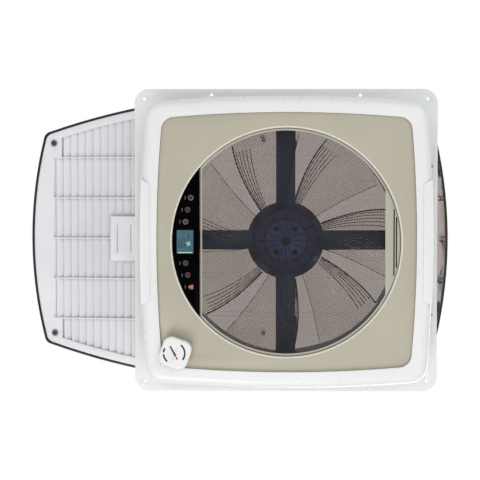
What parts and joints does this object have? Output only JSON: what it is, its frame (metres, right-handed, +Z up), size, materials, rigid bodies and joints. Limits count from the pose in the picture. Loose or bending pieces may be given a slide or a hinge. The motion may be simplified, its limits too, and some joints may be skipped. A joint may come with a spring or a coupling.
{
  "type": "caravan roof vent",
  "caption": "Powered roof vent with a flanged base, tilting domed lid, louvred liner, round fan throat, insect screen, control fascia and a crank knob that lifts the lid.",
  "frame": {"origin": "centre of the roof opening on the outer skin of the roof, which is the underside of the flange", "axes": "+Z up through the roof to the sky, +X towards the lid's hinges, +Y towards the side with the knob; the fan turns about Z"},
  "size_m": [0.5955, 0.42, 0.2705],
  "materials": {
    "shell_pale": "matt moulded polypropylene, slightly see-through",
    "lid_smoke": "glossy smoke acrylic",
    "liner_white": "satin moulded ABS",
    "frame_white": "satin moulded ABS",
    "bezel_beige": "fine grained moulded ABS",
    "fascia_black": "polished",
    "display_teal": "lit display behind a clear window",
    "board_green": "printed board",
    "part_black": "moulded",
    "shroud_navy": "moulded ABS",
    "fan_smoke": "see-through moulded plastic",
    "mesh_grey": "woven insect net, welded into its frame",
    "seal_rubber": "extruded",
    "lead_rubber": "sheathed lead",
    "nylon_white": "moulded acetal",
    "steel_plated": "zinc plated",
    "can_steel": "painted black",
    "core_iron": "varnished laminations and ferrite",
    "bush_bronze": "sintered bronze"
  },
  "bodies": {
    "base": {"roof_base": "shell_pale", "rim_seal": "seal_rubber", "fan_shroud": "shroud_navy", "motor_carrier": "shroud_navy", "shroud_screws": "steel_plated", "motor_can": "can_steel", "motor_end_cap": "can_steel", "motor_magnets": "core_iron", "motor_bushes": "bush_bronze", "motor_screws": "steel_plated", "hinge_brackets": "steel_plated", "bracket_screws": "steel_plated", "hinge_pins": "steel_plated", "drive_bracket": "steel_plated", "drive_screws": "steel_plated", "shaft_bushes": "nylon_white", "knob_bushes": "nylon_white", "ceiling_frame": "frame_white", "ceiling_screws": "steel_plated", "bezel_panel": "bezel_beige", "control_fascia": "fascia_black", "lcd_display": "display_teal", "control_board": "board_green", "key_switches": "part_black", "board_screws": "steel_plated", "terminal_block": "part_black", "motor_lead": "lead_rubber", "lead_plug": "part_black"},
    "lid": {"lid_shell": "lid_smoke", "lid_liner": "liner_white", "liner_plate": "liner_white", "liner_screws": "steel_plated", "hinge_leaves": "steel_plated", "leaf_screws": "steel_plated", "track_near": "lid_smoke", "track_far": "lid_smoke", "track_screws": "steel_plated"},
    "lift": {"lift_shaft": "steel_plated", "worm_wheel": "nylon_white", "lift_arm_near": "steel_plated", "lift_arm_far": "steel_plated", "roller_pins": "steel_plated"},
    "knob": {"knob": "frame_white", "knob_shaft": "steel_plated", "drive_worm": "nylon_white"},
    "roller_near": {"roller_near": "nylon_white"},
    "roller_far": {"roller_far": "nylon_white"},
    "rotor": {"fan_rotor": "fan_smoke", "rotor_nut": "steel_plated", "motor_shaft": "steel_plated", "motor_armature": "core_iron"},
    "screen": {"screen_frame": "bezel_beige", "insect_mesh": "mesh_grey"},
    "key_power": {"key_power": "fascia_black"},
    "key_auto": {"key_auto": "fascia_black"},
    "key_slower": {"key_slower": "fascia_black"},
    "key_faster": {"key_faster": "fascia_black"},
    "key_timer": {"key_timer": "fascia_black"},
    "key_direction": {"key_direction": "fascia_black"}
  },
  "joints": [
    {"name": "lid_tilt", "type": "hinge", "parent": "base", "child": "lid", "pos_m": [0.196, 0, 0.04], "axis": [0, 1, 0], "range_deg": [-7.5, 4]},
    {"name": "lift_turn", "type": "hinge", "parent": "base", "child": "lift", "pos_m": [-0.168, 0, 0.086], "axis": [0, 1, 0], "range_deg": [-9.3, 17.35]},
    {"name": "knob_turn", "type": "hinge", "parent": "base", "child": "knob", "pos_m": [-0.15, 0.1485, 0], "axis": [0, 0, 1], "range_deg": [-222, 415]},
    {"name": "roller_near_spin", "type": "hinge", "parent": "lift", "child": "roller_near", "pos_m": [-0.05846, 0.1538, 0.09606], "axis": [0, 1, 0], "continuous": true},
    {"name": "roller_far_spin", "type": "hinge", "parent": "lift", "child": "roller_far", "pos_m": [-0.05846, -0.1538, 0.09606], "axis": [0, 1, 0], "continuous": true},
    {"name": "fan_spin", "type": "hinge", "parent": "base", "child": "rotor", "pos_m": [0, 0, 0], "axis": [0, 0, 1], "continuous": true},
    {"name": "screen_drop", "type": "slide", "parent": "base", "child": "screen", "axis": [0, 0, -1], "range_m": [0, 0.05]},
    {"name": "key_power_press", "type": "slide", "parent": "base", "child": "key_power", "axis": [0, 0, 1], "range_m": [0, 0.0006], "stiffness_N_per_m": 2500},
    {"name": "key_auto_press", "type": "slide", "parent": "base", "child": "key_auto", "axis": [0, 0, 1], "range_m": [0, 0.0006], "stiffness_N_per_m": 2500},
    {"name": "key_slower_press", "type": "slide", "parent": "base", "child": "key_slower", "axis": [0, 0, 1], "range_m": [0, 0.0006], "stiffness_N_per_m": 2500},
    {"name": "key_faster_press", "type": "slide", "parent": "base", "child": "key_faster", "axis": [0, 0, 1], "range_m": [0, 0.0006], "stiffness_N_per_m": 2500},
    {"name": "key_timer_press", "type": "slide", "parent": "base", "child": "key_timer", "axis": [0, 0, 1], "range_m": [0, 0.0006], "stiffness_N_per_m": 2500},
    {"name": "key_direction_press", "type": "slide", "parent": "base", "child": "key_direction", "axis": [0, 0, 1], "range_m": [0, 0.0006], "stiffness_N_per_m": 2500}
  ],
  "couplings": [
    {"joint": "lift_turn", "follows": "lid_tilt", "ratio": -2.3},
    {"joint": "knob_turn", "follows": "lid_tilt", "ratio": -55.2}
  ]
}
